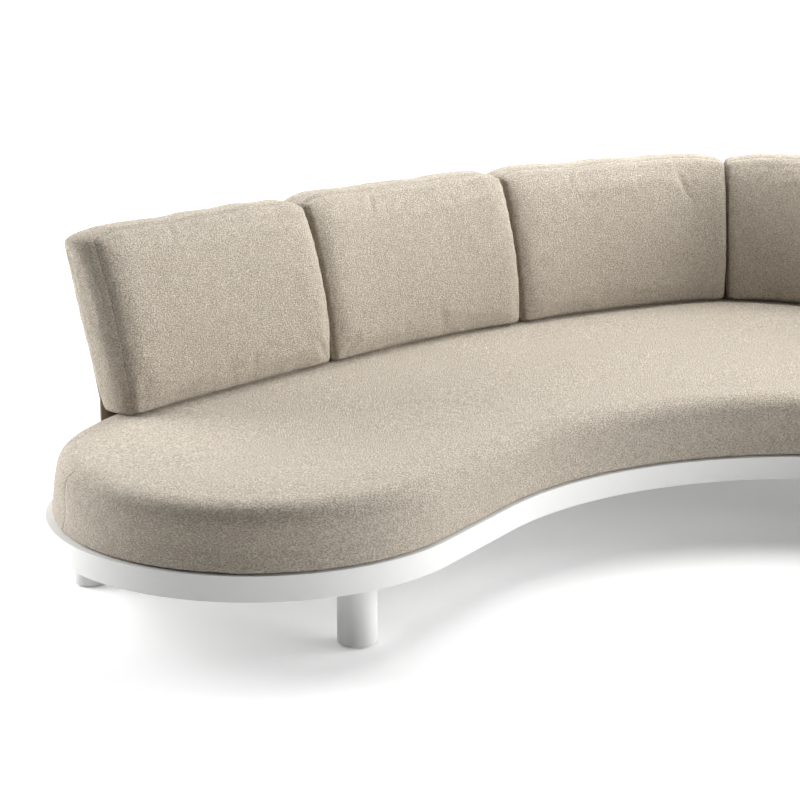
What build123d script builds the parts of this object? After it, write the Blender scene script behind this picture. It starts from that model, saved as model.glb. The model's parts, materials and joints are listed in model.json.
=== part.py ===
from build123d import *
import math
import os

# Curved lounge sofa, in millimetres.
# +Z is up and z = 0 is the floor. x = 0 is the plane of symmetry, and +Y points to the back.
# The left half is drawn, and the right half is its mirror image.

# Plan of the front edge, on the outer face of the rim band.
front_centre_y = -1232
front_radius = 946
end_centre_x = 1389
end_centre_y = -679
end_radius = 521
shoulder_radius = 870

# Back line: where the lower front edges of the back cushions lie, as three tangent arcs.
back_line_y = 968
inner_arc_radius = 380
inner_arc_turn = 25.0
middle_arc_radius = 3100
middle_arc_turn = 22.5
outer_arc_radius = 11500

# Base: a rim band round a deck plate, on cross beams.
rim_bottom_z = 160
rim_height = 60
rim_thickness = 6
rim_behind_back_line = 178
deck_thickness = 4
beam_width = 40
beam_height = 40
beam_wall = 3
beam_span = 4000
outer_beam_x = 1470
middle_beam_x = 740

# Legs, their screws and their levelling feet.
leg_diameter = 92
leg_wall = 3
leg_plate_thickness = 6
leg_edge_radius = 3
leg_floor_gap = 4
leg_pad_diameter = 140
leg_pad_thickness = 6
screw_diameter = 10
screw_head_diameter = 20
screw_head_height = 5
screw_length = 24
thread_clearance = 0.1
foot_diameter = 70
foot_chamfer = 1
foot_stem_diameter = 10
foot_stem_length = 30
foot_stem_clearance = 0.3

# Leg centres on the left half.
front_leg_x = 1157
front_leg_y = -1030
side_leg_x = 1822
side_leg_y = -633
middle_leg_x = 420
middle_leg_y = 220
outer_back_leg_along = 1450
inner_back_leg_along = 360
back_leg_behind = 80

# Seat cushion.
seat_thickness = 154
seat_clearance = 0.3
seat_front_inset = 11
seat_end_inset = 21
seat_end_shift_x = 5
seat_end_shift_y = 10
seat_behind_back_line = 129
seat_shoulder_radius = 860
seat_side_bulge = 3
seat_edge_radius = 50
seat_foot_radius = 9

# Back cushions.
cushion_pitch = 765
outer_cushion_width = 758
cushion_gap = 1.2
cushion_height = 456
cushion_thickness = 124
cushion_lean = 14.3
cushion_crown = 22
cushion_side_bulge = 6
cushion_corner_radius = 32
cushion_top_radius = 24
cushion_foot_radius = 13

# Back shells and the rails that hold them.
shell_behind_back_line = 134
shell_thickness = 5
shell_bend_z = 404
shell_top_z = 700
shell_end_inset = 6
shell_corner_radius = 45
rail_thickness = 4
rail_height = 30
rail_width = 28
rail_end_inset = 60
outer_rail_end_inset = 220
bolt_diameter = 6
bolt_head_diameter = 11
bolt_head_height = 4
bolt_nut_length = 4
bolt_hole_clearance = 0.25
bolt_end_inset = 70

cut_overrun = 20

rim_top_z = rim_bottom_z + rim_height
deck_bottom_z = rim_top_z - deck_thickness
leg_top_z = deck_bottom_z - leg_pad_thickness
seat_bottom_z = rim_top_z + seat_clearance
seat_top_z = rim_top_z + seat_thickness
cushion_bottom_z = seat_top_z + seat_clearance
lean_slope = math.tan(math.radians(cushion_lean))


# Plan geometry

def at(centre, radius, angle):
    """Point at a distance and a direction in degrees from a centre."""
    turn = math.radians(angle)
    return (centre[0] + radius * math.cos(turn), centre[1] + radius * math.sin(turn))


def direction(start, end):
    """Direction from one point to another, in degrees from 0 to 360."""
    return math.degrees(math.atan2(end[1] - start[1], end[0] - start[0])) % 360


def arc_about(centre, radius, start, end):
    """Arc about a centre between two directions in degrees."""
    middle = (start + end) / 2
    return ThreePointArc(at(centre, radius, start), at(centre, radius, middle), at(centre, radius, end))


def back_line_arcs():
    """Centre, radius, first direction and length along the line of each arc of the back line."""
    inner_end = 90 + inner_arc_turn
    middle_end = inner_end + middle_arc_turn
    inner_centre = (0, back_line_y - inner_arc_radius)
    middle_centre = at(inner_centre, inner_arc_radius - middle_arc_radius, inner_end)
    outer_centre = at(middle_centre, middle_arc_radius - outer_arc_radius, middle_end)
    inner_length = math.radians(inner_arc_turn) * inner_arc_radius
    middle_length = math.radians(middle_arc_turn) * middle_arc_radius
    return [
        (inner_centre, inner_arc_radius, 90, 0, inner_length),
        (middle_centre, middle_arc_radius, inner_end, inner_length, inner_length + middle_length),
        (outer_centre, outer_arc_radius, middle_end, inner_length + middle_length, math.inf),
    ]


def back_direction(along):
    """Direction behind the back line, square to it, at a distance along it from the middle."""
    for centre, radius, first, begin, finish in back_line_arcs():
        if along <= finish:
            return first + math.degrees((along - begin) / radius)


def back_point(along, behind):
    """Point at a distance along the back line and a distance behind it."""
    for centre, radius, first, begin, finish in back_line_arcs():
        if along <= finish:
            return at(centre, radius + behind, first + math.degrees((along - begin) / radius))


def back_arcs(start, end, behind):
    """Arcs that run beside the back line between two distances along it."""
    arcs = []
    for centre, radius, first, begin, finish in back_line_arcs():
        low = max(start, begin)
        high = min(end, finish)
        if high > low:
            first_angle = first + math.degrees((low - begin) / radius)
            last_angle = first + math.degrees((high - begin) / radius)
            arcs.append(arc_about(centre, radius + behind, first_angle, last_angle))
    return arcs


def strip(start, end, front, back):
    """Flat strip along the back line, between two distances along it and two behind it."""
    edges = back_arcs(start, end, front) + back_arcs(start, end, back)
    edges.append(Line(back_point(start, front), back_point(start, back)))
    edges.append(Line(back_point(end, front), back_point(end, back)))
    return make_face(edges)


def rounded_strip(start, end, front, back, radius):
    """The same strip with its four corners rounded."""
    face = strip(start, end, front, back)
    places = [back_point(along, behind) for along in (start, end) for behind in (front, back)]
    corners = [face.vertices().sort_by_distance(place)[0] for place in places]
    return fillet(corners, radius)


def shoulder_centre(end_centre, radius, back_radius, shoulder):
    """Centre of the arc that joins the end circle to the outer arc of the back, tangent to both."""
    far_centre = back_line_arcs()[2][0]
    near_reach = shoulder - radius
    far_reach = back_radius - shoulder
    span = math.dist(end_centre, far_centre)
    cosine = (near_reach ** 2 + span ** 2 - far_reach ** 2) / (2 * near_reach * span)
    turn = math.degrees(math.acos(cosine))
    return at(end_centre, near_reach, direction(end_centre, far_centre) + turn)


def half_outline(front, end_centre, radius, behind, shoulder):
    """Left half of a plan outline, from the middle of the front to the middle of the back."""
    front_centre = (0, front_centre_y)
    reach = front + radius
    tilt = math.degrees(math.acos(reach / math.dist(front_centre, end_centre)))
    cross = direction(front_centre, end_centre) - tilt
    far_centre, far_radius, far_first, far_begin, _ = back_line_arcs()[2]
    near_centre = shoulder_centre(end_centre, radius, far_radius + behind, shoulder)
    enter = cross - 180
    leave = direction(near_centre, end_centre) - 360
    join = direction(far_centre, near_centre)
    along = far_begin + math.radians(join - far_first) * far_radius
    return [
        arc_about(front_centre, front, 90, cross),
        Line(at(front_centre, front, cross), at(end_centre, radius, enter)),
        arc_about(end_centre, radius, enter, (enter + leave) / 2),
        arc_about(end_centre, radius, (enter + leave) / 2, leave),
        arc_about(near_centre, shoulder, leave, join - 360),
    ] + back_arcs(0, along, behind)


def outline_face(edges):
    """Closed face from the left half of an outline and its mirror image."""
    return make_face(edges + [mirror(edge, about=Plane.YZ) for edge in edges])


def base_face(inset):
    """Plan of the base, drawn in from the outer face of the rim band."""
    end_centre = (-end_centre_x, end_centre_y)
    return outline_face(
        half_outline(
            front_radius + inset,
            end_centre,
            end_radius - inset,
            rim_behind_back_line - inset,
            shoulder_radius - inset,
        )
    )


def seat_face(inset):
    """Plan of the seat cushion, drawn in from its side seam."""
    end_centre = (-end_centre_x + seat_end_shift_x, end_centre_y - seat_end_shift_y)
    return outline_face(
        half_outline(
            front_radius + seat_front_inset + inset,
            end_centre,
            end_radius - seat_end_inset - inset,
            seat_behind_back_line - inset,
            seat_shoulder_radius - inset,
        )
    )


def to_right(shape):
    """Mirror image of a piece of the left half."""
    return mirror(shape, about=Plane.YZ)


# Base

def leg_places():
    """Centre of each leg on the left half, by name."""
    return {
        "front": (-front_leg_x, front_leg_y),
        "side": (-side_leg_x, side_leg_y),
        "middle": (-middle_leg_x, middle_leg_y),
        "outer_back": back_point(outer_back_leg_along, back_leg_behind),
        "inner_back": back_point(inner_back_leg_along, back_leg_behind),
    }


def rim_band():
    """Flat bar bent on edge round the whole base."""
    ring = base_face(0) - base_face(rim_thickness)
    return extrude(Pos(0, 0, rim_bottom_z) * ring, amount=rim_height)


def screw_shape(growth):
    """Countersunk screw with its head flush at z = 0, or its hole when it is grown."""
    shank = screw_diameter / 2 + growth
    head = screw_head_diameter / 2
    with BuildPart() as screw:
        with BuildSketch(Plane.XZ) as profile:
            Polygon(
                (0, 0),
                (head, 0),
                (shank, -screw_head_height),
                (shank, -screw_length),
                (0, -screw_length),
                align=None,
            )
        revolve(profile.sketch, axis=Axis.Z)
    return screw.part


def deck_left():
    """Left deck plate with a round pad under it over each leg."""
    half = Pos(-beam_span / 2, 0, 0) * Rectangle(beam_span, beam_span)
    plate = extrude(Pos(0, 0, deck_bottom_z) * (base_face(rim_thickness) & half), amount=deck_thickness)
    for place in leg_places().values():
        pad = Cylinder(leg_pad_diameter / 2, leg_pad_thickness, align=(Align.CENTER, Align.CENTER, Align.MIN))
        pad = Pos(*place, leg_top_z) * pad
        keep = extrude(Pos(0, 0, leg_top_z) * base_face(rim_thickness), amount=leg_pad_thickness)
        plate = plate + (pad & keep)
    for place in leg_places().values():
        plate = plate - Pos(*place, rim_top_z) * screw_shape(thread_clearance)
    return plate


def cross_beam(x):
    """Box tube from the front of the rim band to its back, cut to the band's inner face."""
    tube = Box(beam_width, beam_span, beam_height)
    bore = Box(beam_width - 2 * beam_wall, beam_span + cut_overrun, beam_height - 2 * beam_wall)
    centre_z = deck_bottom_z - beam_height / 2
    region = extrude(Pos(0, 0, rim_bottom_z) * base_face(rim_thickness), amount=rim_height)
    return (Pos(x, 0, centre_z) * (tube - bore)) & region


def leg():
    """Round leg: a tube with a plate welded in each end, drawn at the origin."""
    outer = leg_diameter / 2
    inner = outer - leg_wall
    height = leg_top_z - leg_floor_gap
    body = Cylinder(outer, height, align=(Align.CENTER, Align.CENTER, Align.MIN))
    body = fillet(body.edges().filter_by(GeomType.CIRCLE).sort_by(Axis.Z)[0], leg_edge_radius)
    room = Cylinder(
        inner,
        height - 2 * leg_plate_thickness,
        align=(Align.CENTER, Align.CENTER, Align.MIN),
    )
    body = body - Pos(0, 0, leg_plate_thickness) * room
    thread = Cylinder(screw_diameter / 2 + thread_clearance, height + cut_overrun)
    stem = Cylinder(foot_stem_diameter / 2 + foot_stem_clearance, height)
    body = body - Pos(0, 0, height) * thread - stem
    return Pos(0, 0, leg_floor_gap) * body


def foot():
    """Levelling foot: a round pad with a threaded stem, screwed fully in, drawn at the origin."""
    pad = Cylinder(foot_diameter / 2, leg_floor_gap, align=(Align.CENTER, Align.CENTER, Align.MIN))
    pad = chamfer(pad.edges().filter_by(GeomType.CIRCLE).sort_by(Axis.Z)[0], foot_chamfer)
    stem = Cylinder(
        foot_stem_diameter / 2,
        foot_stem_length,
        align=(Align.CENTER, Align.CENTER, Align.MIN),
    )
    return pad + Pos(0, 0, leg_floor_gap) * stem


# Cushions

def bulged(section, height, bulge):
    """Solid through three sections, at its foot, its middle and its top, with the middle one fuller."""
    levels = [section(share, bulge * 4 * share * (1 - share)) for share in (0, 0.5, 1)]
    return loft([Pos(0, 0, height * share) * face for share, face in zip((0, 0.5, 1), levels)])


def soft_edges(body, top_radius, foot_radius):
    """The same solid with its top and foot edges rounded."""
    body = fillet(body.faces().sort_by(Axis.Z)[-1].edges(), top_radius)
    return fillet(body.faces().sort_by(Axis.Z)[0].edges(), foot_radius)


def seat_cushion():
    """One thick cushion over the whole base, with full sides and a soft edge."""
    height = seat_thickness - seat_clearance
    body = bulged(lambda share, bulge: seat_face(-bulge), height, seat_side_bulge)
    return Pos(0, 0, seat_bottom_z) * soft_edges(body, seat_edge_radius, seat_foot_radius)


def back_cushion(start, end):
    """Leaning box cushion with a crowned face, between two distances along the back line."""

    def section(share, bulge):
        lean = lean_slope * cushion_height * share
        draw = (cushion_gap - cushion_side_bulge * bulge / cushion_crown) / 2 + cushion_side_bulge / 2
        front = lean - bulge
        return rounded_strip(
            start + draw, end - draw, front, lean + cushion_thickness, cushion_corner_radius
        )

    body = bulged(section, cushion_height, cushion_crown)
    return Pos(0, 0, cushion_bottom_z) * soft_edges(body, cushion_top_radius, cushion_foot_radius)


# Back shells, their rails and their bolts

def corner_cut(along, behind, inward):
    """Tool that rounds the top corner of a shell; inward is 1 at its start and -1 at its end."""
    turn = math.radians(back_direction(along))
    corner = (*back_point(along, behind), shell_top_z)
    backward = (math.cos(turn), math.sin(turn), 0)
    sideways = (-math.sin(turn), math.cos(turn), 0)
    side = Align.MIN if inward > 0 else Align.MAX
    square = Rectangle(shell_corner_radius, shell_corner_radius, align=(side, Align.MAX))
    disc = Pos(inward * shell_corner_radius, -shell_corner_radius, 0) * Circle(shell_corner_radius)
    plane = Plane(origin=corner, x_dir=sideways, z_dir=backward)
    return extrude(plane * (square - disc), amount=shell_corner_radius, both=True)


def back_shell(start, end):
    """Bent sheet behind one back cushion: upright at its foot, then leaning with the cushion."""
    foot = strip(start, end, shell_behind_back_line, shell_behind_back_line + shell_thickness)
    upright = extrude(Pos(0, 0, rim_top_z) * foot, amount=shell_bend_z - rim_top_z)
    top_behind = shell_behind_back_line + lean_slope * (shell_top_z - shell_bend_z)
    top = strip(start, end, top_behind, top_behind + shell_thickness)
    leaning = loft([Pos(0, 0, shell_bend_z) * foot, Pos(0, 0, shell_top_z) * top], ruled=True)
    body = upright + leaning
    body = body - corner_cut(start, top_behind, 1)
    return body - corner_cut(end, top_behind, -1)


def shell_rail(start, end):
    """Angle rail bent along the foot of a back shell, on the deck."""
    front = shell_behind_back_line + shell_thickness
    wall = strip(start, end, front, front + rail_thickness)
    floor = strip(start, end, front, front + rail_width)
    upright = extrude(Pos(0, 0, rim_top_z) * wall, amount=rail_height)
    flange = extrude(Pos(0, 0, rim_top_z) * floor, amount=rail_thickness)
    return upright + flange


def bolt_shape(length, growth):
    """Button-head bolt along -Z, the underside of its head at z = 0, or its hole when it is grown."""
    shank = Cylinder(bolt_diameter / 2 + growth, length, align=(Align.CENTER, Align.CENTER, Align.MAX))
    head = Cylinder(
        bolt_head_diameter / 2, bolt_head_height, align=(Align.CENTER, Align.CENTER, Align.MIN)
    )
    return shank + head


def bolt_planes(start, end):
    """Planes of the upright bolts and of the level bolts of one rail, on the heads' undersides."""
    rail_front = shell_behind_back_line + shell_thickness
    floor_behind = rail_front + (rail_thickness + rail_width) / 2
    wall_behind = rail_front + rail_thickness
    level = rim_top_z + (rail_thickness + rail_height) / 2
    upright = []
    across = []
    for along in (start + bolt_end_inset, end - bolt_end_inset):
        turn = math.radians(back_direction(along))
        backward = (math.cos(turn), math.sin(turn), 0)
        foot = (*back_point(along, floor_behind), rim_top_z + rail_thickness)
        wall = (*back_point(along, wall_behind), level)
        upright.append(Plane(origin=foot, x_dir=backward, z_dir=(0, 0, 1)))
        across.append(Plane(origin=wall, x_dir=(0, 0, 1), z_dir=backward))
    return upright, across


def back_spans():
    """First and last distance along the back line of each back cushion on the left half."""
    return {
        "inner": (0, cushion_pitch),
        "middle": (cushion_pitch, 2 * cushion_pitch),
        "outer": (2 * cushion_pitch, 2 * cushion_pitch + outer_cushion_width),
    }


def rail_spans():
    """The same for each rail; the outer one stops short, where the base curves in."""
    ends = {"inner": rail_end_inset, "middle": rail_end_inset, "outer": outer_rail_end_inset}
    return {
        place: (start + rail_end_inset, end - ends[place]) for place, (start, end) in back_spans().items()
    }


# Assembly

def left_half():
    """Every piece that has a mirror image on the right, by name."""
    pieces = {"deck": deck_left()}
    pieces["middle_beam"] = cross_beam(-middle_beam_x)
    pieces["outer_beam"] = cross_beam(-outer_beam_x)
    for name, place in leg_places().items():
        pieces[f"{name}_leg"] = Pos(*place, 0) * leg()
        pieces[f"{name}_foot"] = Pos(*place, 0) * foot()
    for name, (start, end) in back_spans().items():
        pieces[f"{name}_back_cushion"] = back_cushion(start, end)
        pieces[f"{name}_back_shell"] = back_shell(start + shell_end_inset, end - shell_end_inset)
        pieces[f"{name}_shell_rail"] = shell_rail(*rail_spans()[name])
    return pieces


def fasteners():
    """Screws and bolts of the left half, and the holes that they need, by the piece they pass."""
    screws = [Pos(*place, rim_top_z) * screw_shape(0) for place in leg_places().values()]
    upright_length = rail_thickness + deck_thickness + bolt_nut_length
    level_length = rail_thickness + shell_thickness
    rail_bolts = []
    shell_bolts = []
    holes = {"deck": []}
    for name, (start, end) in rail_spans().items():
        upright, across = bolt_planes(start, end)
        rail_bolts += [plane * bolt_shape(upright_length, 0) for plane in upright]
        shell_bolts += [plane * bolt_shape(level_length, 0) for plane in across]
        upright_holes = [plane * bolt_shape(upright_length, bolt_hole_clearance) for plane in upright]
        level_holes = [plane * bolt_shape(level_length, bolt_hole_clearance) for plane in across]
        holes["deck"] += upright_holes
        holes[f"{name}_shell_rail"] = upright_holes + level_holes
        holes[f"{name}_back_shell"] = level_holes
    return {"leg_screws": screws, "rail_bolts": rail_bolts, "shell_bolts": shell_bolts}, holes


def sofa():
    """All pieces of the sofa, by name."""
    groups, holes = fasteners()
    pieces = {"rim_band": rim_band(), "centre_beam": cross_beam(0), "seat_cushion": seat_cushion()}
    for name, piece in left_half().items():
        for hole in holes.get(name, []):
            piece = piece - hole
        pieces[f"{name}_left"] = piece
        pieces[f"{name}_right"] = to_right(piece)
    for name, group in groups.items():
        pieces[name] = Compound(group + [to_right(piece) for piece in group])
    return pieces


if __name__ == "__main__":
    os.makedirs("parts", exist_ok=True)
    for name, piece in sofa().items():
        export_step(piece, f"parts/{name}.step")
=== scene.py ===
# %% [markdown]
# # A curved lounge sofa
# This lesson dresses a sofa whose metal frame is already drawn to size. The sofa has a kidney-shaped seat
# cushion on a thin white base, six loose back cushions that lean on bent shells, and ten round legs.
# Everything is in metres, +Z is up, and +Y points to the sofa's back.

# %% Load the drawn frame
import json
import math

import bpy
import numpy as np
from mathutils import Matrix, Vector, noise


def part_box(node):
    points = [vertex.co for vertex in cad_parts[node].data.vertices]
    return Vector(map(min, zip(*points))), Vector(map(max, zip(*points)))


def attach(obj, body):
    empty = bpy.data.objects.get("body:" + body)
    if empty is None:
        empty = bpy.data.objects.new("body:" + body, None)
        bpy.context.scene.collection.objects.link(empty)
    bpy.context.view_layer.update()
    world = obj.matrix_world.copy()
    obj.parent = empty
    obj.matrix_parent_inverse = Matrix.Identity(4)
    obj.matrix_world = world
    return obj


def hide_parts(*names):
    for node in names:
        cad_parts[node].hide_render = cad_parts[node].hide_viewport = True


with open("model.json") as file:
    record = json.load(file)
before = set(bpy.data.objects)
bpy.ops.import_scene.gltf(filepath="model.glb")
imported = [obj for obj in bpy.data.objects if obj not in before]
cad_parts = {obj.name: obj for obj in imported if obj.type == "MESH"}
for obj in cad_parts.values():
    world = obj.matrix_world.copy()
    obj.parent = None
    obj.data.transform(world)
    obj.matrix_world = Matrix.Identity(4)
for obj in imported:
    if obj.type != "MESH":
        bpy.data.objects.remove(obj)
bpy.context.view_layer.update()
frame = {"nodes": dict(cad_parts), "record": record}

# %% [markdown]
# ## Small helpers
# Operators act on whatever is selected, so each step starts by selecting one piece alone. Mesh points are
# read and written as numpy arrays, because a cushion has tens of thousands of them, and a loop over them
# in plain Python would be slow.

# %% Select a piece and apply its modifiers
def select_only(piece):
    """Makes one piece the only selected and the active one."""
    bpy.ops.object.select_all(action="DESELECT")
    piece.select_set(True)
    bpy.context.view_layer.objects.active = piece


def apply_all(piece):
    """Applies every modifier of a piece, in order."""
    select_only(piece)
    for modifier in list(piece.modifiers):
        bpy.ops.object.modifier_apply(modifier=modifier.name)


# %% Read and write points
def read_points(piece):
    """The piece's points as an array of rows x, y, z."""
    flat = np.empty(len(piece.data.vertices) * 3)
    piece.data.vertices.foreach_get("co", flat)
    return flat.reshape(-1, 3)


def write_points(piece, points):
    """Puts an array of rows x, y, z back into the piece."""
    piece.data.vertices.foreach_set("co", points.ravel())
    piece.data.update()


def read_normals(piece):
    """The direction in which each point's surface faces."""
    flat = np.empty(len(piece.data.vertices) * 3)
    piece.data.vertex_normals.foreach_get("vector", flat)
    return flat.reshape(-1, 3)


print("points of the drawn rim band", len(read_points(frame["nodes"]["rim_band"])))

# %% Values kept on points
def keep_value(piece, name, values):
    """Keeps a value on each point, for a material or a later step."""
    layer = piece.data.attributes.new(name, "FLOAT", "POINT")
    layer.data.foreach_set("value", values.astype(np.float32))


def read_value(piece, name):
    """A value that is kept on each point, by name."""
    values = np.empty(len(piece.data.vertices))
    piece.data.attributes[name].data.foreach_get("value", values)
    return values


# %% [markdown]
# ## Materials
# The real sofa has one fabric, white and taupe powder coat on its metal, plated screws and plastic feet.
# Photographs of swatches could be wrapped round it, but they repeat and blur close up, so each finish is
# worked out from noise. Three effects are shared, so each is a node group: the mottled weave of the
# upholstery, the pressed line of a seam with its painted shade, and the fine grain of powder coat. Each
# group puts out colours and heights, and the shader that uses them stays in its own material.

# %% Node helpers
def add_node(tree, kind, place, **settings):
    """A shader node with its settings, put at a place in the node view."""
    made = tree.nodes.new(kind)
    made.location = place
    for name, value in settings.items():
        setattr(made, name, value)
    return made


def math_node(tree, operation, first, second, place):
    """A Math node whose inputs are sockets or numbers."""
    made = add_node(tree, "ShaderNodeMath", place, operation=operation)
    for socket, value in zip(made.inputs, (first, second)):
        if isinstance(value, bpy.types.NodeSocket):
            tree.links.new(value, socket)
        elif value is not None:
            socket.default_value = value
    return made.outputs[0]


def mix_colours(tree, share, first, second, place):
    """A colour mixed from two colours, which are sockets or values."""
    made = add_node(tree, "ShaderNodeMix", place, data_type="RGBA")
    for socket, value in ((made.inputs[0], share), (made.inputs[6], first), (made.inputs[7], second)):
        if isinstance(value, bpy.types.NodeSocket):
            tree.links.new(value, socket)
        else:
            socket.default_value = value
    return made.outputs[2]


# %% New groups
def new_group(name, inputs, outputs):
    """A shader node group with named sockets, and its input and output nodes."""
    tree = bpy.data.node_groups.new(name, "ShaderNodeTree")
    for label, kind, start in inputs:
        socket = tree.interface.new_socket(label, in_out="INPUT", socket_type=kind)
        if start is not None:
            socket.default_value = start
    for label, kind in outputs:
        tree.interface.new_socket(label, in_out="OUTPUT", socket_type=kind)
    enter = add_node(tree, "NodeGroupInput", (-900, 0))
    leave = add_node(tree, "NodeGroupOutput", (900, 0))
    return tree, enter, leave


# %% [markdown]
# ### The weave
# A melange fabric is woven from light and dark yarns that cross in rows. Every yarn could be modelled, but
# there are hundreds in each metre. Here a fine noise, squeezed a little in height so that it lies in rows,
# picks between the two yarn colours, and small round cells give the height of the loops.

# %% Woven upholstery group
def weave_group():
    """Mottled yarns of two tones, with the small height of the weave."""
    tree, enter, leave = new_group(
        "Melange weave",
        [
            ("Place", "NodeSocketVector", None),
            ("Light yarn", "NodeSocketColor", (0.6, 0.6, 0.6, 1)),
            ("Dark yarn", "NodeSocketColor", (0.4, 0.4, 0.4, 1)),
            ("Yarns per metre", "NodeSocketFloat", 300.0),
        ],
        [("Color", "NodeSocketColor"), ("Height", "NodeSocketFloat")],
    )
    yarns = add_node(tree, "ShaderNodeTexNoise", (-600, 200))
    yarns.inputs["Detail"].default_value = 3.0
    yarns.inputs["Roughness"].default_value = 0.7
    rows = add_node(tree, "ShaderNodeVectorMath", (-780, 200), operation="MULTIPLY")
    rows.inputs[1].default_value = (1.0, 1.0, 1.8)
    tree.links.new(enter.outputs["Place"], rows.inputs[0])
    tree.links.new(rows.outputs[0], yarns.inputs["Vector"])
    tree.links.new(enter.outputs["Yarns per metre"], yarns.inputs["Scale"])
    loops = add_node(tree, "ShaderNodeTexVoronoi", (-600, -100))
    tree.links.new(enter.outputs["Place"], loops.inputs["Vector"])
    tree.links.new(enter.outputs["Yarns per metre"], loops.inputs["Scale"])
    wide = add_node(tree, "ShaderNodeTexNoise", (-600, -400))
    wide.inputs["Scale"].default_value = 45.0
    wide.inputs["Detail"].default_value = 4.0
    tree.links.new(enter.outputs["Place"], wide.inputs["Vector"])
    spread = add_node(tree, "ShaderNodeMapRange", (-350, 200))
    spread.inputs["From Min"].default_value = 0.40
    spread.inputs["From Max"].default_value = 0.60
    tree.links.new(yarns.outputs["Fac"], spread.inputs["Value"])
    mottle = math_node(tree, "MULTIPLY", wide.outputs["Fac"], 0.3, (-350, -400))
    share = math_node(tree, "MULTIPLY_ADD", spread.outputs["Result"], 0.7, (-100, 100))
    tree.links.new(mottle, share.node.inputs[2])
    colour = mix_colours(tree, share, (0, 0, 0, 1), (1, 1, 1, 1), (150, 200))
    tree.links.new(enter.outputs["Dark yarn"], colour.node.inputs[6])
    tree.links.new(enter.outputs["Light yarn"], colour.node.inputs[7])
    bumps = math_node(tree, "SUBTRACT", 1.0, loops.outputs["Distance"], (-350, -100))
    height = math_node(tree, "MULTIPLY_ADD", bumps, 0.5, (150, -100))
    tree.links.new(spread.outputs["Result"], height.node.inputs[2])
    tree.links.new(colour, leave.inputs["Color"])
    tree.links.new(height, leave.inputs["Height"])
    return tree


weave = weave_group()
print("group", weave.name, "with", len(weave.nodes), "nodes")

# %% [markdown]
# ### The seam and its painted shade
# A seam pulls the cover down into a thin line, and shade falls in that groove. The cushion keeps each
# point's distance to its seam, and the group turns that distance into a soft line of painted shade and a
# height. This follows the cushion as it bends, which a line painted into an image would not.

# %% Seam group
def seam_group():
    """A pressed line where two panels are sewn together, from the distance to it: a share of painted shade
    for the colour, and a height.
    """
    tree, enter, leave = new_group(
        "Pressed seam with painted shade",
        [
            ("Distance", "NodeSocketFloat", 1.0),
            ("Here", "NodeSocketFloat", 0.0),
            ("Half width", "NodeSocketFloat", 0.003),
        ],
        [("Line", "NodeSocketFloat"), ("Height", "NodeSocketFloat")],
    )
    apart = math_node(tree, "ABSOLUTE", enter.outputs["Distance"], None, (-600, 0))
    ratio = math_node(tree, "DIVIDE", apart, enter.outputs["Half width"], (-400, 0))
    close = add_node(tree, "ShaderNodeMapRange", (-200, 0), interpolation_type="SMOOTHSTEP")
    close.inputs["From Min"].default_value = 0.0
    close.inputs["From Max"].default_value = 1.0
    close.inputs["To Min"].default_value = 1.0
    close.inputs["To Max"].default_value = 0.0
    tree.links.new(ratio, close.inputs["Value"])
    line = math_node(tree, "MULTIPLY", close.outputs["Result"], enter.outputs["Here"], (100, 0))
    height = math_node(tree, "SUBTRACT", 1.0, line, (400, -100))
    tree.links.new(line, leave.inputs["Line"])
    tree.links.new(height, leave.inputs["Height"])
    return tree


seam = seam_group()
print("group", seam.name, "with", len(seam.nodes), "nodes")

# %% [markdown]
# ### Powder coat
# Powder coat is a baked paint with a fine orange-peel grain. It is near to plain, so the grain is very low,
# the gloss changes a little from place to place, and a trace of dust lies close to the floor.

# %% Powder coat group
def powder_group():
    """Fine grain of powder coat, with faint uneven tone and a trace of dust low down."""
    tree, enter, leave = new_group(
        "Powder grain",
        [
            ("Place", "NodeSocketVector", None),
            ("Coat", "NodeSocketColor", (0.8, 0.8, 0.8, 1)),
            ("Dust", "NodeSocketColor", (0.6, 0.58, 0.55, 1)),
            ("Roughness", "NodeSocketFloat", 0.45),
        ],
        [("Color", "NodeSocketColor"), ("Roughness", "NodeSocketFloat"), ("Height", "NodeSocketFloat")],
    )
    grain = add_node(tree, "ShaderNodeTexNoise", (-600, 200))
    grain.inputs["Scale"].default_value = 900.0
    grain.inputs["Detail"].default_value = 2.0
    tree.links.new(enter.outputs["Place"], grain.inputs["Vector"])
    tone = add_node(tree, "ShaderNodeTexNoise", (-600, -100))
    tone.inputs["Scale"].default_value = 6.0
    tone.inputs["Detail"].default_value = 5.0
    tree.links.new(enter.outputs["Place"], tone.inputs["Vector"])
    split = add_node(tree, "ShaderNodeSeparateXYZ", (-600, -400))
    tree.links.new(enter.outputs["Place"], split.inputs["Vector"])
    low = add_node(tree, "ShaderNodeMapRange", (-350, -400))
    low.inputs["From Min"].default_value = 0.06
    low.inputs["From Max"].default_value = 0.0
    tree.links.new(split.outputs["Z"], low.inputs["Value"])
    dusty = math_node(tree, "MULTIPLY", low.outputs["Result"], tone.outputs["Fac"], (-100, -300))
    share = math_node(tree, "MULTIPLY", dusty, 0.25, (100, -300))
    colour = mix_colours(tree, share, (1, 1, 1, 1), (0, 0, 0, 1), (350, 200))
    tree.links.new(enter.outputs["Coat"], colour.node.inputs[6])
    tree.links.new(enter.outputs["Dust"], colour.node.inputs[7])
    uneven = math_node(tree, "MULTIPLY_ADD", tone.outputs["Fac"], 0.12, (100, -50))
    tree.links.new(enter.outputs["Roughness"], uneven.node.inputs[2])
    tree.links.new(colour, leave.inputs["Color"])
    tree.links.new(uneven, leave.inputs["Roughness"])
    tree.links.new(grain.outputs["Fac"], leave.inputs["Height"])
    return tree


powder = powder_group()
print("group", powder.name, "with", len(powder.nodes), "nodes")

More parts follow.
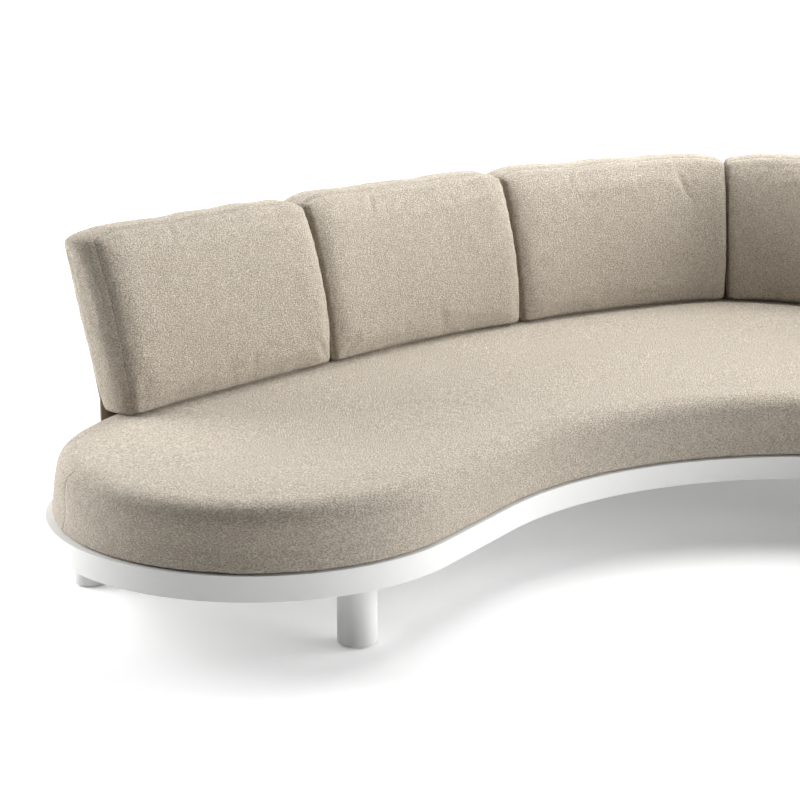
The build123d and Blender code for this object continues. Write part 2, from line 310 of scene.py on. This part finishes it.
# %% Material helpers
def start_material(name):
    """A material with its shader and its object coordinates."""
    material = bpy.data.materials.new(name)
    material.use_nodes = True
    tree = material.node_tree
    shader = tree.nodes["Principled BSDF"]
    place = add_node(tree, "ShaderNodeTexCoord", (-1200, 0)).outputs["Object"]
    return material, tree, shader, place


def add_group(tree, group, place):
    """A node group placed in a material."""
    made = add_node(tree, "ShaderNodeGroup", place)
    made.node_tree = group
    return made


def add_bump(tree, shader, height, depth):
    """Bump whose height is a real depth in metres."""
    bump = add_node(tree, "ShaderNodeBump", (-250, -300))
    bump.inputs["Distance"].default_value = depth
    tree.links.new(height, bump.inputs["Height"])
    tree.links.new(bump.outputs["Normal"], shader.inputs["Normal"])
    return bump


def from_screen(red, green, blue):
    """A linear colour from the 0 to 255 values that a screen shows."""
    shares = [value / 255 for value in (red, green, blue)]
    linear = [share / 12.92 if share <= 0.04045 else ((share + 0.055) / 1.055) ** 2.4 for share in shares]
    return (*linear, 1.0)


# %% [markdown]
# ### Upholstery
# The cover is a woven fabric of beige and grey-brown yarns. Close up it is mottled, and from a few metres
# it reads as one warm grey. It is nearly without gloss, and a little sheen stands for the loose fibres that
# catch light at its edges.

# %% Fabric
LIGHT_YARN = from_screen(222, 212, 197)
DARK_YARN = from_screen(150, 139, 123)
YARNS_PER_METRE = 210.0
SEAM_HALF_WIDTH = 0.0025


def fabric_material():
    """Melange fabric with pressed seams, darkened a little along each seam as painted shade."""
    material, tree, shader, place = start_material("Melange fabric")
    cloth = add_group(tree, weave, (-900, 100))
    cloth.inputs["Light yarn"].default_value = LIGHT_YARN
    cloth.inputs["Dark yarn"].default_value = DARK_YARN
    cloth.inputs["Yarns per metre"].default_value = YARNS_PER_METRE
    tree.links.new(place, cloth.inputs["Place"])
    line = add_group(tree, seam, (-900, -300))
    away = add_node(tree, "ShaderNodeAttribute", (-1200, -300), attribute_name="seam_distance")
    here = add_node(tree, "ShaderNodeAttribute", (-1200, -500), attribute_name="seam_here")
    tree.links.new(away.outputs["Fac"], line.inputs["Distance"])
    tree.links.new(here.outputs["Fac"], line.inputs["Here"])
    line.inputs["Half width"].default_value = SEAM_HALF_WIDTH
    # Painted shade: along a seam the yarn colour is mixed a little towards dark brown, for the shade that
    # falls in the seam's groove.
    depth = math_node(tree, "MULTIPLY", line.outputs["Line"], 0.05, (-650, -300))
    colour = mix_colours(tree, depth, (1, 1, 1, 1), from_screen(120, 108, 92), (-450, 100))
    tree.links.new(cloth.outputs["Color"], colour.node.inputs[6])
    tree.links.new(colour, shader.inputs["Base Color"])
    pressed = math_node(tree, "MULTIPLY", line.outputs["Height"], 0.8, (-650, -450))
    height = math_node(tree, "MULTIPLY_ADD", cloth.outputs["Height"], 0.5, (-450, -350))
    tree.links.new(pressed, height.node.inputs[2])
    add_bump(tree, shader, height, 0.0022)
    shader.inputs["Roughness"].default_value = 0.95
    shader.inputs["Specular IOR Level"].default_value = 0.15
    shader.inputs["Sheen Weight"].default_value = 0.12
    shader.inputs["Sheen Roughness"].default_value = 0.6
    return material


materials = {"fabric": fabric_material()}
print("made", materials["fabric"].name)

# %% [markdown]
# ### Coated metal, plated steel and plastic
# The base and legs are white, the bent shells behind the cushions are taupe, the screws are plated steel
# and the feet are grey plastic. All four are smooth, hard and even, so one recipe serves them with other
# colours and gloss, and steel has its Metallic value at one.

# %% Hard finishes
def coated_material(name, coat, dust, roughness):
    """Powder-coated metal."""
    material, tree, shader, place = start_material(name)
    grain = add_group(tree, powder, (-700, 0))
    grain.inputs["Coat"].default_value = coat
    grain.inputs["Dust"].default_value = dust
    grain.inputs["Roughness"].default_value = roughness
    tree.links.new(place, grain.inputs["Place"])
    tree.links.new(grain.outputs["Color"], shader.inputs["Base Color"])
    tree.links.new(grain.outputs["Roughness"], shader.inputs["Roughness"])
    add_bump(tree, shader, grain.outputs["Height"], 0.00006)
    return material


materials["white_powder_coat"] = coated_material(
    "White powder coat", from_screen(234, 234, 233), from_screen(196, 192, 186), 0.42
)
materials["taupe_powder_coat"] = coated_material(
    "Taupe powder coat", from_screen(150, 138, 124), from_screen(170, 160, 150), 0.5
)
materials["foot_plastic"] = coated_material(
    "Moulded foot plastic", from_screen(92, 92, 92), from_screen(140, 136, 130), 0.55
)
materials["steel"] = coated_material(
    "Plated steel", from_screen(196, 198, 200), from_screen(150, 148, 144), 0.3
)
materials["steel"].node_tree.nodes["Principled BSDF"].inputs["Metallic"].default_value = 1.0
print("materials", list(materials))

# %% Finish the drawn pieces
dressed_nodes = 0
for entry in frame["record"]["subparts"]:
    for slot in frame["nodes"][entry["node"]].material_slots:
        slot.link = "OBJECT"
        slot.material = materials[entry["material_slot"]]
        dressed_nodes += 1
print("drawn pieces with their finish", dressed_nodes)

# %% [markdown]
# ## The back line
# The back cushions stand along one curved line made of three tangent arcs. They could be shaped one by one
# in their own frames, but then their ends would not meet. So a point's place along this line and its
# distance behind it make simple coordinates for a bent cushion: across its width and through its
# thickness. Both halves use the same line, because the sofa is its own mirror image.

# %% Arcs of the back line
BACK_LINE_Y = 0.968
INNER_ARC_RADIUS = 0.380
INNER_ARC_TURN = 25.0
MIDDLE_ARC_RADIUS = 3.100
MIDDLE_ARC_TURN = 22.5
OUTER_ARC_RADIUS = 11.500


def arc_end(centre, radius, angle):
    """Point on a circle at an angle in degrees."""
    turn = math.radians(angle)
    return np.array([centre[0] + radius * math.cos(turn), centre[1] + radius * math.sin(turn)])


def back_arcs():
    """Centre, radius, first angle and first distance of each arc of the left half."""
    inner_turn = 90 + INNER_ARC_TURN
    middle_turn = inner_turn + MIDDLE_ARC_TURN
    inner = np.array([0, BACK_LINE_Y - INNER_ARC_RADIUS])
    middle = arc_end(inner, INNER_ARC_RADIUS - MIDDLE_ARC_RADIUS, inner_turn)
    outer = arc_end(middle, MIDDLE_ARC_RADIUS - OUTER_ARC_RADIUS, middle_turn)
    inner_length = math.radians(INNER_ARC_TURN) * INNER_ARC_RADIUS
    middle_length = math.radians(MIDDLE_ARC_TURN) * MIDDLE_ARC_RADIUS
    return [
        (inner, INNER_ARC_RADIUS, 90, 0),
        (middle, MIDDLE_ARC_RADIUS, inner_turn, inner_length),
        (outer, OUTER_ARC_RADIUS, middle_turn, inner_length + middle_length),
    ]


print("radii of the back line", [arc[1] for arc in back_arcs()])

# %% Coordinates along the back line
def along_and_behind(points):
    """Each point's distance along the back line, its distance behind it, and the direction behind it."""
    plan = np.column_stack([-np.abs(points[:, 0]), points[:, 1]])
    side = np.where(points[:, 0] > 0, -1.0, 1.0)
    along = np.zeros(len(points))
    behind = np.zeros(len(points))
    backward = np.zeros((len(points), 2))
    for centre, radius, first, begin in back_arcs():
        reach = plan - centre
        distance = np.hypot(reach[:, 0], reach[:, 1])
        angle = np.degrees(np.arctan2(reach[:, 1], reach[:, 0])) % 360
        here = (angle >= first) | (first == 90)
        along[here] = (begin + np.radians(angle - first) * radius)[here]
        behind[here] = (distance - radius)[here]
        backward[here] = (reach / distance[:, None])[here]
    backward[:, 0] *= side
    return along, behind, backward


on_the_line = np.array([[0.0, BACK_LINE_Y, 0.0]])
print("along and behind at the middle", [float(part[0]) for part in along_and_behind(on_the_line)[:2]])

# %% [markdown]
# ## Cushions
# A cushion is a sewn cover that its filling pushes out until the seams hold it. It could be sculpted by
# hand, but a simulation gives the fullness of real cloth. So each one starts as the drawn solid, is
# remeshed to small even faces, and is blown up with the points near its seams held. No point moves more
# than a centimetre, so the cushion keeps its size, and the seams stay as soft valleys between full panels.

# %% Start from the drawn solid
SAME_POINT = 0.00002


def cushion_start(node, name, cell):
    """A closed copy of a drawn cushion, remeshed to even faces."""
    piece = bpy.data.objects.new(name, frame["nodes"][node].data.copy())
    bpy.context.scene.collection.objects.link(piece)
    select_only(piece)
    bpy.ops.object.mode_set(mode="EDIT")
    bpy.ops.mesh.select_all(action="SELECT")
    bpy.ops.mesh.remove_doubles(threshold=SAME_POINT)
    bpy.ops.object.mode_set(mode="OBJECT")
    remesh = piece.modifiers.new("Even faces", "REMESH")
    remesh.mode = "VOXEL"
    remesh.voxel_size = cell
    apply_all(piece)
    return piece


# %% Hold and inflate
PRESSURE = 4.0
SPARE_LENGTH = 0.004
LAST_FRAME = 20


def hold(piece, weights):
    """Names the points that stay put in the simulation, by weight."""
    group = piece.vertex_groups.new(name="held")
    for index in np.nonzero(weights > 0)[0]:
        group.add([int(index)], float(weights[index]), "REPLACE")


def inflate(piece, limit):
    """Blows a cushion up with cloth that has a little spare length, and limits how far a point may move."""
    start = read_points(piece)
    cloth = piece.modifiers.new("Filling", "CLOTH")
    cloth.settings.quality = 4
    cloth.settings.mass = 0.3
    cloth.settings.tension_stiffness = 12
    cloth.settings.compression_stiffness = 12
    cloth.settings.shear_stiffness = 6
    cloth.settings.bending_stiffness = 0.6
    cloth.settings.use_pressure = True
    cloth.settings.uniform_pressure_force = PRESSURE
    cloth.settings.shrink_min = -SPARE_LENGTH
    cloth.settings.vertex_group_mass = "held"
    cloth.settings.effector_weights.gravity = 0
    cloth.collision_settings.use_collision = False
    cloth.point_cache.frame_start = 1
    cloth.point_cache.frame_end = LAST_FRAME
    for step in range(1, LAST_FRAME + 1):
        bpy.context.scene.frame_set(step)
        bpy.context.view_layer.update()
    apply_all(piece)
    bpy.context.scene.frame_set(1)
    move = read_points(piece) - start
    reach = np.linalg.norm(move, axis=1)
    share = np.minimum(1, limit / np.maximum(reach, 1e-9))
    write_points(piece, start + move * share[:, None])
    print(piece.name, "moved", round(float(reach.max()), 4), "m before the limit")


# %% Iron and refine
def refine(piece, rounds):
    """Irons small creases out in some rounds, then adds one level of smooth subdivision."""
    if rounds:
        iron = piece.modifiers.new("Ironed", "SMOOTH")
        iron.factor = 0.5
        iron.iterations = rounds
    finer = piece.modifiers.new("Finer", "SUBSURF")
    finer.levels = 1
    finer.render_levels = 1
    apply_all(piece)
    select_only(piece)
    bpy.ops.object.shade_smooth()


# %% Soft random values and bumps
def waves(points, size, seed):
    """Soft random values from -1 to 1 that change over a given size in metres."""
    shift = Vector((seed * 7.3, seed * 3.1, seed * 5.7))
    return np.array([noise.noise(Vector(point) / size + shift) for point in points])


def hump(values, middle, half_width):
    """A smooth bump from 0 to 1 and back, round a middle value."""
    away = np.clip(np.abs(values - middle) / half_width, 0, 1)
    return (1 - away ** 2) ** 2


print("a bump at its middle and its edge", hump(np.array([0.0, 1.0]), 0, 1).tolist())

# %% [markdown]
# ## Back cushions
# Each back cushion is a box cushion: a front panel, a back panel and a strip of cover between them. The
# seam round the front panel sits just behind its edge. The cover is cut square, so its upright corners are
# filled out before the inflation. After it come the marks of use: the filling settles, so the top edge
# sags a little, its corners droop, and a short fold runs in from it. The outer cushions have one free end,
# which swells over the edge of the shell behind them.

# %% Sizes of a back cushion
CUSHION_PITCH = 0.765
OUTER_CUSHION_WIDTH = 0.758
CUSHION_LEAN = math.tan(math.radians(14.3))
CUSHION_CROWN = 0.022
CUSHION_THICKNESS = 0.124
SIDE_GAP = 0.0006
BACK_GAP = 0.0015
SEAM_FROM_FACE = 0.017
SECOND_SEAM = CUSHION_THICKNESS - SEAM_FROM_FACE
CORNER_RADIUS = 0.032
CORNER_FULLNESS = 5
END_SWELL = 0.026
CORNER_DROOP = 0.012
EDGE_ROLL = 0.004
FOLD_DEPTH = 0.0022
VALLEY_DEPTH = 0.0045
BACK_CUSHION_PUSH = 0.010
BACK_CUSHION_CELL = 0.010
IRONING_ROUNDS = 4
print("a back cushion is", CUSHION_THICKNESS, "m thick and", CUSHION_PITCH, "m wide")

# %% Places of the six cushions
cushion_foot_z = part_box("inner_back_cushion_left")[0].z
cushion_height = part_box("inner_back_cushion_left")[1].z - cushion_foot_z
spans = {
    "inner": (0.0, CUSHION_PITCH),
    "middle": (CUSHION_PITCH, 2 * CUSHION_PITCH),
    "outer": (2 * CUSHION_PITCH, 2 * CUSHION_PITCH + OUTER_CUSHION_WIDTH),
}
print("height of a back cushion", round(cushion_height, 3))

# %% Dips along the top edges
# Share of the width, depth of the dip in metres and half width as a share, along each top edge.
top_dip_shares = {
    "outer_left": [(0.62, 0.004, 0.14), (0.40, 0.004, 0.12), (0.13, 0.006, 0.14)],
    "middle_left": [(0.70, 0.004, 0.14), (0.38, 0.003, 0.12)],
    "inner_left": [(0.64, 0.005, 0.15), (0.33, 0.003, 0.12)],
    "inner_right": [(0.30, 0.004, 0.14), (0.68, 0.004, 0.13)],
    "middle_right": [(0.55, 0.004, 0.15), (0.25, 0.003, 0.12)],
    "outer_right": [(0.48, 0.004, 0.14), (0.80, 0.004, 0.12)],
}

# %% Coordinates in a cushion
def cushion_places(points, span):
    """Share across the width, share of the height, and depth behind the front panel, of each point."""
    along, behind, backward = along_and_behind(points)
    up = (points[:, 2] - cushion_foot_z) / cushion_height
    depth = behind - CUSHION_LEAN * (points[:, 2] - cushion_foot_z)
    depth = depth + CUSHION_CROWN * 4 * np.clip(up * (1 - up), 0, 1)
    across = (along - span[0]) / (span[1] - span[0])
    return across, up, depth, along, backward


def move_along(points, backward, distance):
    """Moves points along the back line, away from the sofa's middle."""
    sideways = np.column_stack([backward[:, 1], -backward[:, 0]])
    away = np.where(points[:, 0] > 0, 1, -1)[:, None]
    points[:, :2] += sideways * away * distance[:, None]


# %% Fill the upright corners
def fill_corners(piece, span):
    """Fills the four rounded upright corners out, because the cover is cut square and pushed full there."""
    points = read_points(piece)
    across, up, depth, along, backward = cushion_places(points, span)
    middle = (span[0] + span[1]) / 2
    lean_back = depth - CUSHION_CROWN * 4 * np.clip(up * (1 - up), 0, 1)
    side = np.abs(along - middle) - ((span[1] - span[0]) / 2 - CORNER_RADIUS)
    behind = lean_back - (CUSHION_THICKNESS - CORNER_RADIUS)
    ahead = CORNER_RADIUS - depth
    facing = np.where(behind > 0, 1, -1)
    inside = np.maximum(behind, ahead)
    corner = (side > 0) & (inside > 0)
    reach = np.hypot(side, inside)[corner]
    first = side[corner] / reach
    second = inside[corner] / reach
    grow = (first ** CORNER_FULLNESS + second ** CORNER_FULLNESS) ** (-1 / CORNER_FULLNESS) - 1
    outward = np.zeros(len(points))
    outward[corner] = side[corner] * grow * np.sign(along - middle)[corner]
    further = np.zeros(len(points))
    further[corner] = inside[corner] * grow * facing[corner]
    points[:, :2] += backward * further[:, None]
    move_along(points, backward, outward)
    write_points(piece, points)


# %% Keep a cushion in its space
def keep_in_space(piece, span, spare_end):
    """Keeps a cushion clear of its neighbours, of the seat and of the shell, but for a free end's swell."""
    points = read_points(piece)
    across, up, depth, along, backward = cushion_places(points, span)
    wanted = np.clip(along, span[0] + SIDE_GAP, span[1] - SIDE_GAP + spare_end)
    move_along(points, backward, wanted - along)
    lean_back = depth - CUSHION_CROWN * 4 * np.clip(up * (1 - up), 0, 1)
    too_far = np.maximum(lean_back - CUSHION_THICKNESS - BACK_GAP, 0)
    points[:, :2] -= backward * too_far[:, None]
    points[:, 2] = np.maximum(points[:, 2], cushion_foot_z)
    write_points(piece, points)


# %% [markdown]
# ### Seams, sag and folds
# The seams are held while the cushion is blown up. Then the top edge sags where the filling has settled,
# the free end swells, and the panels get their soft unevenness, with a valley along each seam. These are
# moves of the mesh and not only bump, so they show in the outline too.

# %% Seams of a back cushion
def keep_seams(piece, span):
    """Keeps each point's distance to the two seams, and holds the points that lie on them."""
    across, up, depth, along, backward = cushion_places(read_points(piece), span)
    away = (depth - SEAM_FROM_FACE) * (SECOND_SEAM - depth) / (SECOND_SEAM - SEAM_FROM_FACE)
    keep_value(piece, "seam_distance", away)
    keep_value(piece, "seam_here", np.ones(len(away)))
    hold(piece, np.clip(1.4 - np.abs(away) / 0.006, 0, 1))


# %% Sag of the top and swell of the free end
def settle_top(points, places, span, dips, width_share):
    """Sinks the top edge at its dips and at its corners, and rolls the front corners back a little."""
    across, up, depth, along, backward = places
    near_top = np.clip((up - 0.78) / 0.22, 0, 1)
    sink = np.zeros(len(points))
    for middle, depth_down, half in dips:
        sink += depth_down * hump(width_share, middle, half)
    from_end = np.minimum(along - span[0], span[1] - along)
    sink += CORNER_DROOP * hump(from_end, 0, 0.085)
    points[:, 2] -= sink * near_top ** 2
    rolled = EDGE_ROLL * hump(from_end, 0, 0.095) * np.clip(1 - depth / 0.06, 0, 1)
    points[:, :2] += backward * rolled[:, None]


def swell_free_end(points, places, near_end, swell):
    """Swells the strip at the free end outwards, most at the top."""
    across, up, depth, along, backward = places
    between = 1 - (1 - np.clip((depth - 0.006) / 0.070, 0, 1)) ** 2
    upright = 0.35 + 0.65 * np.clip(up / 0.5, 0, 1)
    move_along(points, backward, swell * between * near_end * upright)


# %% Unevenness of the panels
def panel_shift(points, places, near_end, width_share, away, seed):
    """How far each point lies above or below the smooth panel."""
    across, up, depth, along, backward = places
    fold_line = width_share - 0.66 - (1 - up) * 0.30
    fold = hump(fold_line, 0, 0.022) * hump(up, 0.93, 0.10) * (depth < 0.03)
    front_valley = hump(depth - SEAM_FROM_FACE, 0, 0.013)
    back_valley = hump(depth - SECOND_SEAM, 0, 0.012) * (1 - near_end)
    valley = front_valley + 0.3 * back_valley
    soft = 0.0022 * waves(points, 0.16, seed) + 0.0010 * waves(points, 0.055, seed + 3)
    pucker = 0.0007 * waves(points, 0.018, seed + 5) * hump(away, 0, 0.03)
    return soft * np.clip(1 - valley, 0, 1) + pucker - FOLD_DEPTH * fold - VALLEY_DEPTH * valley


# %% Make one back cushion
def back_cushion(place, side, seed):
    """One finished back cushion of the left or the right half."""
    node = f"{place}_back_cushion_{side}"
    span = spans[place]
    free_end = END_SWELL if place == "outer" else 0
    piece = cushion_start(node, f"{node}_cover", BACK_CUSHION_CELL)
    fill_corners(piece, span)
    keep_seams(piece, span)
    inflate(piece, BACK_CUSHION_PUSH)
    refine(piece, IRONING_ROUNDS)
    points = read_points(piece)
    normals = read_normals(piece)
    places = cushion_places(points, span)
    across, up, depth, along, backward = places
    width_share = across if side == "left" else 1 - across
    near_end = hump(span[1] - along, 0, 0.09)
    settle_top(points, places, span, top_dip_shares[f"{place}_{side}"], width_share)
    swell_free_end(points, places, near_end, free_end)
    away = read_value(piece, "seam_distance")
    shift = panel_shift(points, places, near_end, width_share, away, seed)
    write_points(piece, points + normals * shift[:, None])
    keep_in_space(piece, span, free_end)
    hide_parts(node)
    return piece, node


# %% Make all six
def dress(piece, body, slot):
    """Gives a piece its material, its slot and the body that it moves with."""
    piece.data.materials.clear()
    piece.data.materials.append(materials[slot])
    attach(piece, body)


seed = 1
for side in ("left", "right"):
    for place in spans:
        cushion, cushion_body = back_cushion(place, side, seed)
        dress(cushion, cushion_body, "fabric")
        seed += 1
print("back cushions made")

# %% [markdown]
# ## Seat cushion
# The seat is one thick cushion with a full, soft edge. It lies flat on the deck and carries the back
# cushions, so only its sides and the free part of its top may swell. A vertical seam shows near each round
# end, where two lengths of the side strip meet. The lower edge is filled out over the rim, because the
# cushion's weight presses it wide there.

# %% Sizes of the seat
SEAT_CELL = 0.013
SEAT_END_X = 1.384
SEAT_END_Y = -0.689
SEAT_END_RADIUS = 0.500
SIDE_SEAM_ANGLE = math.radians(207)

SEAT_PUSH = 0.005
FOOT_SWELL = 0.009
FOOT_SWELL_HEIGHT = 0.06
SEAM_DEPTH = 0.0014

seat_low, seat_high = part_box("seat_cushion")
rim_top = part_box("rim_band")[1].z
print("the seat's foot is", round((seat_low.z - rim_top) * 1000, 1), "mm above the rim")

# %% Seams and held parts of the seat
def keep_seat_seams(piece):
    """Keeps the distance to the side seams, and holds the foot and the part under the back cushions."""
    points = read_points(piece)
    reach_x = -np.abs(points[:, 0]) + SEAT_END_X
    reach_y = points[:, 1] - SEAT_END_Y
    angle = np.arctan2(reach_y, reach_x) % (2 * math.pi)
    turn = angle - SIDE_SEAM_ANGLE
    far_out = np.hypot(reach_x, reach_y) / SEAT_END_RADIUS
    here = hump(turn, 0, 0.3) * np.clip((far_out - 0.93) / 0.03, 0, 1)
    keep_value(piece, "seam_distance", turn * SEAT_END_RADIUS)
    keep_value(piece, "seam_here", here)
    low = np.clip(1 - (points[:, 2] - seat_low.z) / 0.012, 0, 1)
    along, behind, backward = along_and_behind(points)
    covered = np.clip((behind + 0.01) / 0.03, 0, 1)
    hold(piece, np.maximum(low, covered))


# %% Fill the lower edge out
def fill_foot(points, normals):
    """Moves the low part of the side outwards over the rim."""
    flat = np.hypot(normals[:, 0], normals[:, 1])
    outward = normals[:, :2] / np.maximum(flat, 1e-6)[:, None]
    above_rim = points[:, 2] - rim_top
    low_down = hump(above_rim, 0, FOOT_SWELL_HEIGHT) * np.clip(above_rim / 0.004, 0, 1)
    overhang = FOOT_SWELL * low_down * np.clip(flat * 1.5, 0, 1)
    points[:, :2] += outward * overhang[:, None]


# %% Make the seat
def seat_cushion():
    """The finished seat cushion."""
    piece = cushion_start("seat_cushion", "seat_cushion_cover", SEAT_CELL)
    keep_seat_seams(piece)
    inflate(piece, SEAT_PUSH)
    refine(piece, 0)
    points = read_points(piece)
    normals = read_normals(piece)
    along, behind, backward = along_and_behind(points)
    free = np.clip(-behind / 0.05, 0, 1) * np.clip((points[:, 2] - seat_low.z) / 0.03, 0, 1)
    soft = 0.0020 * waves(points, 0.22, 21) + 0.0007 * waves(points, 0.07, 22)
    seam_line = read_value(piece, "seam_here") * hump(read_value(piece, "seam_distance"), 0, 0.012)
    shift = soft * free - SEAM_DEPTH * seam_line
    points = points + normals * shift[:, None]
    fill_foot(points, normals)
    points[:, 2] = np.maximum(points[:, 2], seat_low.z)
    points[:, 2] = np.where(behind > -0.03, np.minimum(points[:, 2], seat_high.z), points[:, 2])
    write_points(piece, points)
    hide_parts("seat_cushion")
    return piece


dress(seat_cushion(), "seat_cushion", "fabric")
print("seat cushion made")

# %% [markdown]
# ## Legs
# A leg is a round tube with a plate in each end. The drawn one has flat facets, so a smoother one is turned
# here: a cylinder whose lower edge is bevelled to the soft radius that the real leg has, and whose
# underside is inset for the plate. One leg is modelled and then copied to the ten places.

# %% One leg
LEG_EDGE = 0.003
LEG_SIDES = 96
PLATE_EDGE = 0.004
GROOVE_WIDTH = 0.0008
GROOVE_DEPTH = 0.0006


def model_leg():
    """One leg at the origin, its foot end down."""
    low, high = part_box("front_leg_left")
    radius = (high.x - low.x) / 2
    bpy.ops.mesh.primitive_cylinder_add(
        vertices=LEG_SIDES, radius=radius, depth=high.z - low.z, location=(0, 0, (low.z + high.z) / 2)
    )
    leg = bpy.context.active_object
    bpy.ops.object.transform_apply(location=True, rotation=True, scale=True)
    bpy.ops.object.mode_set(mode="EDIT")
    bpy.ops.mesh.select_mode(type="FACE")
    bpy.ops.mesh.select_all(action="DESELECT")
    bpy.ops.object.mode_set(mode="OBJECT")
    for face in leg.data.polygons:
        face.select = face.normal.z < -0.9
    bpy.ops.object.mode_set(mode="EDIT")
    bpy.ops.mesh.bevel(offset=LEG_EDGE, segments=4, affect="EDGES")
    bpy.ops.mesh.select_all(action="DESELECT")
    bpy.ops.object.mode_set(mode="OBJECT")
    for face in leg.data.polygons:
        face.select = face.normal.z < -0.999
    bpy.ops.object.mode_set(mode="EDIT")
    bpy.ops.mesh.inset(thickness=PLATE_EDGE, depth=0)
    bpy.ops.mesh.inset(thickness=GROOVE_WIDTH, depth=-GROOVE_DEPTH)
    bpy.ops.object.mode_set(mode="OBJECT")
    bpy.ops.object.shade_smooth_by_angle(angle=math.radians(35))
    return leg


# %% Ten legs
pattern_leg = model_leg()
for node in frame["nodes"]:
    if node.endswith(("_leg_left", "_leg_right")):
        low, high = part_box(node)
        leg = bpy.data.objects.new(f"{node}_tube", pattern_leg.data.copy())
        bpy.context.scene.collection.objects.link(leg)
        points = read_points(leg)
        points[:, :2] += [(low.x + high.x) / 2, (low.y + high.y) / 2]
        write_points(leg, points)
        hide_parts(node)
        dress(leg, "base", "white_powder_coat")
bpy.data.objects.remove(pattern_leg)
print("legs made")

# %% [markdown]
# ## Room and light
# The sofa stands on a pale studio floor. The floor glows for the viewer alone, faintly near the sofa and
# fully far away, so the shadow fades into white, and no extra light falls on the sofa.

# %% What the viewer sees
def seen_by_viewer(tree):
    """1 on rays that come from the viewer, straight, mirrored or through glass, and 0 on all others."""
    rays = add_node(tree, "ShaderNodeLightPath", (-700, 300))
    mirrored = rays.outputs["Is Glossy Ray"]
    seen = math_node(tree, "MAXIMUM", rays.outputs["Is Camera Ray"], mirrored, (-500, 300))
    return math_node(tree, "MAXIMUM", seen, rays.outputs["Is Transmission Ray"], (-300, 300))


# %% Floor
FLOOR_WHITE = (0.92, 0.92, 0.92, 1)
NEAR_GLOW = 0.22
SHADOW_REACH = 1.9
SHADOW_FADE = 1.6


def floor_material():
    """White floor that keeps the sofa's shadow."""
    material, tree, shader, place = start_material("Studio floor")
    shader.inputs["Base Color"].default_value = FLOOR_WHITE
    shader.inputs["Roughness"].default_value = 0.9
    seen = seen_by_viewer(tree)
    distance = add_node(tree, "ShaderNodeVectorMath", (-700, 0), operation="LENGTH")
    tree.links.new(place, distance.inputs[0])
    far = add_node(tree, "ShaderNodeMapRange", (-500, 0), interpolation_type="SMOOTHSTEP")
    far.inputs["From Min"].default_value = SHADOW_REACH
    far.inputs["From Max"].default_value = SHADOW_REACH + SHADOW_FADE
    far.inputs["To Min"].default_value = NEAR_GLOW
    far.inputs["To Max"].default_value = 1.0
    tree.links.new(distance.outputs["Value"], far.inputs["Value"])
    glow = math_node(tree, "MULTIPLY", seen, far.outputs["Result"], (-100, 300))
    shader.inputs["Emission Color"].default_value = (1, 1, 1, 1)
    tree.links.new(glow, shader.inputs["Emission Strength"])
    return material


bpy.ops.mesh.primitive_plane_add(size=60, location=(0, 0, 0))
floor = bpy.context.active_object
floor.name = "floor"
floor.data.materials.append(floor_material())
print("floor made")

# %% [markdown]
# ### World
# The background is white for the viewer, but lights the sofa only a little. A world that lit it fully would
# flatten the shading, because light would come from every side.

# %% World
def light_world(strength):
    """Dim even light all round, and a white background."""
    world = bpy.data.worlds.new("Studio")
    bpy.context.scene.world = world
    world.use_nodes = True
    tree = world.node_tree
    tree.nodes.clear()
    leave = add_node(tree, "ShaderNodeOutputWorld", (400, 0))
    lit = add_node(tree, "ShaderNodeBackground", (0, 100))
    lit.inputs["Strength"].default_value = strength
    shown = add_node(tree, "ShaderNodeBackground", (0, -100))
    for sky in (lit, shown):
        sky.inputs["Color"].default_value = (1, 1, 1, 1)
    seen = seen_by_viewer(tree)
    mixed = add_node(tree, "ShaderNodeMixShader", (200, 0))
    tree.links.new(seen, mixed.inputs[0])
    tree.links.new(lit.outputs[0], mixed.inputs[1])
    tree.links.new(shown.outputs[0], mixed.inputs[2])
    tree.links.new(mixed.outputs[0], leave.inputs["Surface"])


WORLD_LIGHT = 0.03
light_world(WORLD_LIGHT)
print("world light", WORLD_LIGHT)

# %% [markdown]
# ### Lamps
# Two large soft lights stand at the sides, a little behind the sofa's middle. A third hangs above and
# behind it, and the weakest stands low at the front right. So the tops are the brightest, and the faces
# that look at the viewer are the darkest. Large lights give soft edges to the shadows.

# %% Lamps
def soft_lamp(name, place, target, width, height, power):
    """A large soft lamp at a place, turned to a target."""
    light = bpy.data.lights.new(name, "AREA")
    light.shape = "RECTANGLE"
    light.size = width
    light.size_y = height
    light.energy = power
    lamp = bpy.data.objects.new(name, light)
    bpy.context.scene.collection.objects.link(lamp)
    lamp.location = place
    lamp.rotation_euler = (Vector(target) - Vector(place)).to_track_quat("-Z", "Y").to_euler()


LEFT_POWER = 285
RIGHT_POWER = 395
TOP_POWER = 245
FRONT_POWER = 140
soft_lamp("left light", (-5.0, 0.9, 1.8), (-1.2, -0.1, 0.4), 3.5, 2.4, LEFT_POWER)
soft_lamp("right light", (5.0, 1.1, 2.2), (-0.4, -0.1, 0.4), 3.5, 2.6, RIGHT_POWER)
soft_lamp("top light", (0.3, 2.0, 4.2), (-0.2, -0.2, 0.3), 4.0, 2.5, TOP_POWER)
soft_lamp("front right light", (4.6, -2.6, 1.6), (-0.6, -0.1, 0.3), 3.0, 2.0, FRONT_POWER)
print("lamps", [light.name for light in bpy.data.lights])

# %% [markdown]
# ## Camera
# The viewer stands in front of the sofa's left half and looks slightly down at it, through a lens that is
# long enough to keep the sofa's proportions.

# %% Camera
CAMERA_PLACE = (-1.06, -5.04, 1.622)
CAMERA_PITCH = 14.713
lens = bpy.data.cameras.new("viewer")
lens.lens = 85
lens.sensor_width = 36
lens.clip_end = 200
camera = bpy.data.objects.new("viewer", lens)
bpy.context.scene.collection.objects.link(camera)
camera.location = CAMERA_PLACE
camera.rotation_euler = (math.radians(90 - CAMERA_PITCH), 0, 0)
bpy.context.scene.camera = camera
bpy.context.scene.view_settings.view_transform = "Standard"
print("camera pitch", CAMERA_PITCH)
